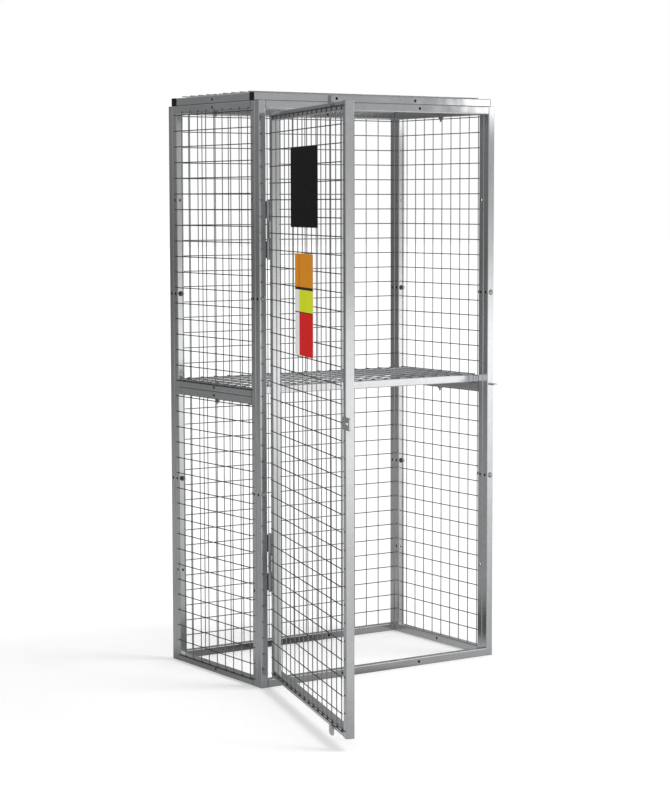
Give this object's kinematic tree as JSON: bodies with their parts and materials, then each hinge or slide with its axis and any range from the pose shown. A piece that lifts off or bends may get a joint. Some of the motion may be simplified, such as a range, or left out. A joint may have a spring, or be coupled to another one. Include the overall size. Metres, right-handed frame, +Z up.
{
  "type": "gas cylinder cage",
  "caption": "Tall square-tube cage with wire-mesh sides, back, roof, mid-height shelf and hinged front door, and a padlock hasp.",
  "frame": {"origin": "on the floor, in the middle of the cage's footprint without the open door", "axes": "+X along the front to the right as seen by someone who faces the door opening, +Y to the back, +Z up"},
  "size_m": [1.1482, 1.3949, 1.831],
  "materials": {
    "galvanised_tube": "dull bright zinc on drawn tube and flat bar",
    "wire_mesh": "bright zinc on drawn wire",
    "zinc_fastener": "bright zinc plate",
    "hinge_steel": "dull zinc",
    "black_plastic": "satin moulded",
    "black_sign": "satin black plate, bare",
    "colour_sign": "plain colour fields of orange, lime, red and white"
  },
  "bodies": {
    "cage": {"front_left_stile": "galvanised_tube", "front_right_stile": "galvanised_tube", "front_header": "galvanised_tube", "front_sill": "galvanised_tube", "rear_left_stile": "galvanised_tube", "rear_right_stile": "galvanised_tube", "rear_top_rail": "galvanised_tube", "rear_bottom_rail": "galvanised_tube", "rear_mesh": "wire_mesh", "stile_end_caps": "galvanised_tube", "left_front_stile": "galvanised_tube", "left_rear_stile": "galvanised_tube", "left_top_rail": "galvanised_tube", "left_mid_rail": "galvanised_tube", "left_bottom_rail": "galvanised_tube", "left_upper_mesh": "wire_mesh", "left_lower_mesh": "wire_mesh", "right_front_stile": "galvanised_tube", "right_rear_stile": "galvanised_tube", "right_top_rail": "galvanised_tube", "right_mid_rail": "galvanised_tube", "right_bottom_rail": "galvanised_tube", "right_upper_mesh": "wire_mesh", "right_lower_mesh": "wire_mesh", "roof_front_tube": "galvanised_tube", "roof_rear_tube": "galvanised_tube", "roof_left_tube": "galvanised_tube", "roof_right_tube": "galvanised_tube", "roof_mesh": "wire_mesh", "roof_end_plugs": "black_plastic", "shelf_left_tube": "galvanised_tube", "shelf_right_tube": "galvanised_tube", "shelf_front_tube": "galvanised_tube", "shelf_rear_tube": "galvanised_tube", "shelf_mesh": "wire_mesh", "corner_bolts": "zinc_fastener", "corner_nuts": "zinc_fastener", "roof_bolts": "zinc_fastener", "roof_nuts": "zinc_fastener", "shelf_bolts": "zinc_fastener", "shelf_nuts": "zinc_fastener", "upper_hinge_frame_knuckles": "hinge_steel", "lower_hinge_frame_knuckles": "hinge_steel", "upper_hinge_pin": "hinge_steel", "lower_hinge_pin": "hinge_steel", "padlock_staple": "galvanised_tube"},
    "door": {"door_hinge_stile": "galvanised_tube", "door_free_stile": "galvanised_tube", "door_top_rail": "galvanised_tube", "door_bottom_rail": "galvanised_tube", "door_end_caps": "galvanised_tube", "door_mesh": "wire_mesh", "door_stop_tabs": "galvanised_tube", "hasp_plate": "galvanised_tube", "upper_hinge_door_knuckle": "hinge_steel", "lower_hinge_door_knuckle": "hinge_steel", "black_sign_plate": "black_sign", "colour_sign_plate": "colour_sign"}
  },
  "joints": [
    {"name": "door_hinge", "type": "hinge", "parent": "cage", "child": "door", "pos_m": [-0.41875, -0.2775, 0.9], "axis": [0, 0, -1], "range_deg": [-108, 47]}
  ]
}
